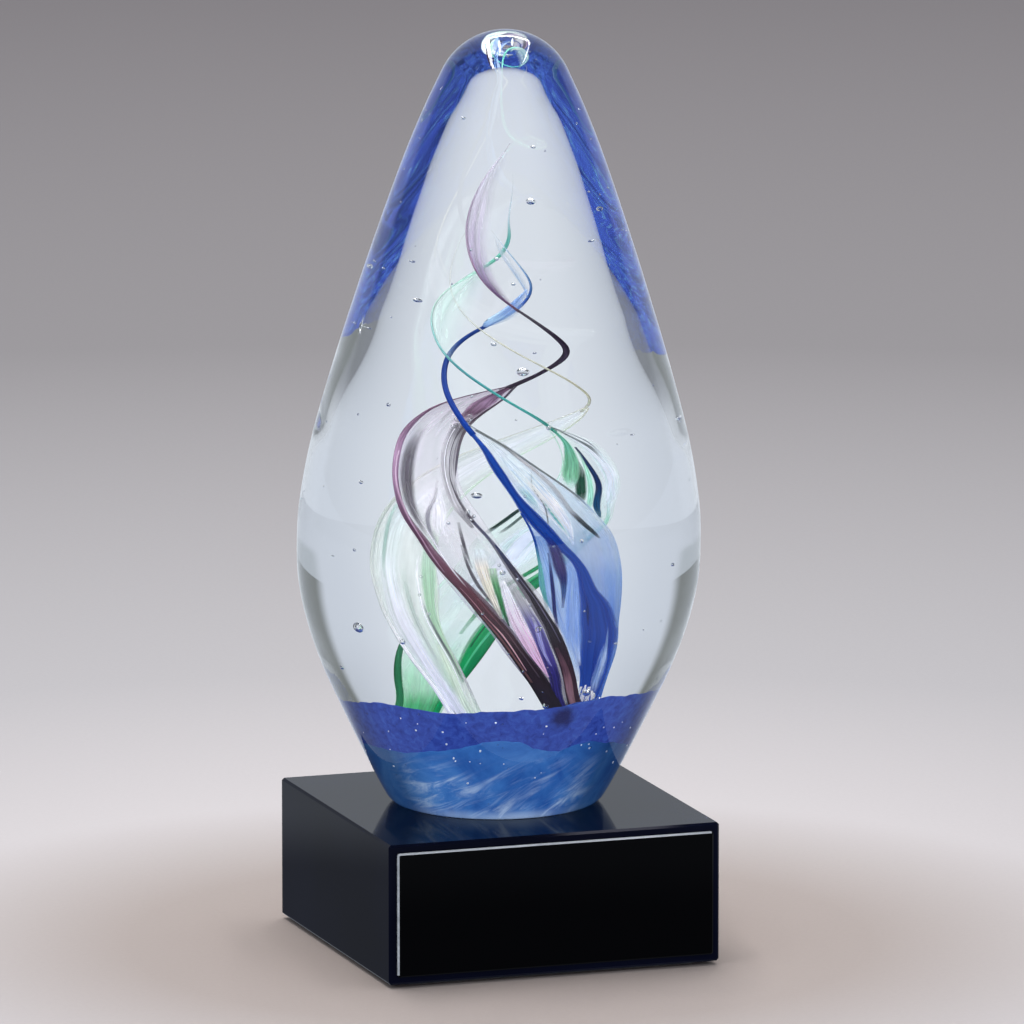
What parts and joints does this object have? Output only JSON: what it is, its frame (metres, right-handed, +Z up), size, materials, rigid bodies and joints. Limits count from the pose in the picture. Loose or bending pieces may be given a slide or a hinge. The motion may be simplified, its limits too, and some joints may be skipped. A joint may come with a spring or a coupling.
{
  "type": "crystal award",
  "caption": "Free-standing art-glass award: a clear pointed glass egg with a blue foot and twisting coloured ribbons inside, bonded to a polished black block with a blank plate.",
  "frame": {"origin": "middle of the resting face, at the underside of the felt", "axes": "+Z up through the glass, -Y out of the face that carries the plate, +X to the right of that face"},
  "size_m": [0.0886, 0.0886, 0.203],
  "materials": {
    "clear_glass": "clear polished crystal",
    "azure_glass": "azure art glass with white wisps",
    "cobalt_glass": "cobalt art glass",
    "black_crystal": "polished black crystal",
    "purple_glass": "plum art glass",
    "purple_inner_glass": "dark violet art glass",
    "purple_veil_glass": "milky lilac glass with grey streaks",
    "blue_glass": "royal blue art glass",
    "blue_inner_glass": "dark teal and indigo art glass",
    "blue_veil_glass": "pale sky-blue glass with white streaks",
    "green_glass": "emerald art glass",
    "green_inner_glass": "dark green art glass",
    "green_veil_glass": "pale green glass with white streaks",
    "ivory_glass": "ivory art glass",
    "ivory_inner_glass": "smoke grey art glass",
    "ivory_veil_glass": "milky white glass with grey streaks",
    "felt": "black wool felt",
    "plate": "gloss black enamel, bare bright edge",
    "adhesive": "clear cured adhesive"
  },
  "bodies": {
    "root": {"base_felt": "felt", "base_block": "black_crystal", "plate_adhesive": "adhesive", "name_plate": "plate", "glass_bond": "adhesive", "clear_casing": "clear_glass", "azure_foot": "azure_glass", "cobalt_pad": "cobalt_glass", "purple_cane": "purple_glass", "purple_inner_cane": "purple_inner_glass", "purple_veil": "purple_veil_glass", "blue_cane": "blue_glass", "blue_inner_cane": "blue_inner_glass", "blue_veil": "blue_veil_glass", "green_cane": "green_glass", "green_inner_cane": "green_inner_glass", "green_veil": "green_veil_glass", "ivory_cane": "ivory_glass", "ivory_inner_cane": "ivory_inner_glass", "ivory_veil": "ivory_veil_glass"}
  },
  "joints": []
}
